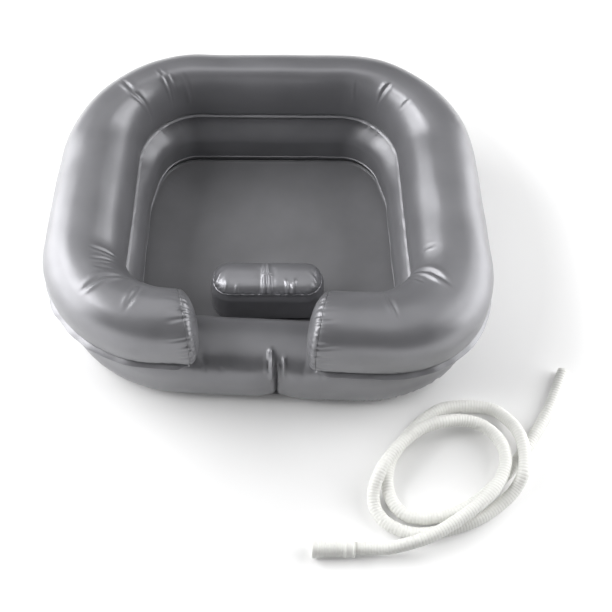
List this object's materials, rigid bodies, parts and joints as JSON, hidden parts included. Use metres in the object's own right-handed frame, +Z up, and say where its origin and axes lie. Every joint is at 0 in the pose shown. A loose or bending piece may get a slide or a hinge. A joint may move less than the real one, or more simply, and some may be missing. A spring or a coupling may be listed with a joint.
{
  "type": "portable shampoo basin",
  "caption": "Inflatable shampoo basin with two stacked air chambers, a neck gap, a head pillow, a floor drain and a loose ribbed drain hose.",
  "frame": {"origin": "centre of the basin's box on the ground, without the loose hose and its cuff", "axes": "+Z up; the neck gap opens to -Y; +X to the right of someone who faces the gap"},
  "size_m": [0.7498, 0.7571, 0.1936],
  "materials": {
    "basin_skin": "satin soft vinyl film, silver grey",
    "floor_skin": "satin soft vinyl film, darker grey",
    "pillow_skin": "satin soft vinyl film, silver grey",
    "valve_soft": "soft translucent vinyl",
    "valve_film": "clear vinyl film",
    "plug_soft": "soft translucent vinyl",
    "drain_white": "moulded white plastic, satin",
    "hose_white": "flexible ribbed plastic, satin off-white"
  },
  "bodies": {
    "basin": {"lower_tube": "basin_skin", "upper_tube": "basin_skin", "end_panel_left": "basin_skin", "end_panel_right": "basin_skin", "floor_sheet": "floor_skin", "pillow": "pillow_skin", "upper_valve_flange": "valve_soft", "lower_valve_flange": "valve_soft", "pillow_valve_flange": "valve_soft", "drain_outlet": "drain_white", "hose_cuff": "hose_white", "drain_hose": "hose_white"},
    "upper_stem": {"upper_valve_stem": "valve_soft"},
    "upper_flap": {"upper_valve_flap": "valve_film"},
    "upper_plug": {"upper_valve_plug": "plug_soft"},
    "lower_stem": {"lower_valve_stem": "valve_soft"},
    "lower_flap": {"lower_valve_flap": "valve_film"},
    "lower_plug": {"lower_valve_plug": "plug_soft"},
    "pillow_stem": {"pillow_valve_stem": "valve_soft"},
    "pillow_flap": {"pillow_valve_flap": "valve_film"},
    "pillow_plug": {"pillow_valve_plug": "plug_soft"},
    "stopper": {"drain_stopper": "drain_white"}
  },
  "joints": [
    {"name": "upper_valve_push", "type": "slide", "parent": "basin", "child": "upper_stem", "axis": [0, 1, 0], "range_m": [-0.0048, 0]},
    {"name": "upper_plug_pull", "type": "slide", "parent": "upper_stem", "child": "upper_plug", "axis": [0, 1, 0], "range_m": [0, 0.02]},
    {"name": "upper_flap_open", "type": "hinge", "parent": "upper_stem", "child": "upper_flap", "pos_m": [0.055, 0.24146, 0.15], "axis": [-1, 0, 0], "range_deg": [0, 40]},
    {"name": "lower_valve_push", "type": "slide", "parent": "basin", "child": "lower_stem", "axis": [0, 1, 0], "range_m": [-0.0048, 0]},
    {"name": "lower_plug_pull", "type": "slide", "parent": "lower_stem", "child": "lower_plug", "axis": [0, 1, 0], "range_m": [0, 0.02]},
    {"name": "lower_flap_open", "type": "hinge", "parent": "lower_stem", "child": "lower_flap", "pos_m": [-0.055, 0.23136, 0.0571], "axis": [-1, 0, 0], "range_deg": [0, 40]},
    {"name": "pillow_valve_push", "type": "slide", "parent": "basin", "child": "pillow_stem", "axis": [0, 1, 0], "range_m": [-0.0048, 0]},
    {"name": "pillow_plug_pull", "type": "slide", "parent": "pillow_stem", "child": "pillow_plug", "axis": [0, 1, 0], "range_m": [0, 0.02]},
    {"name": "pillow_flap_open", "type": "hinge", "parent": "pillow_stem", "child": "pillow_flap", "pos_m": [0.025, -0.07664, 0.0475], "axis": [-1, 0, 0], "range_deg": [0, 40]},
    {"name": "stopper_lift", "type": "slide", "parent": "basin", "child": "stopper", "axis": [0, 0, 1], "range_m": [0, 0.03]}
  ]
}
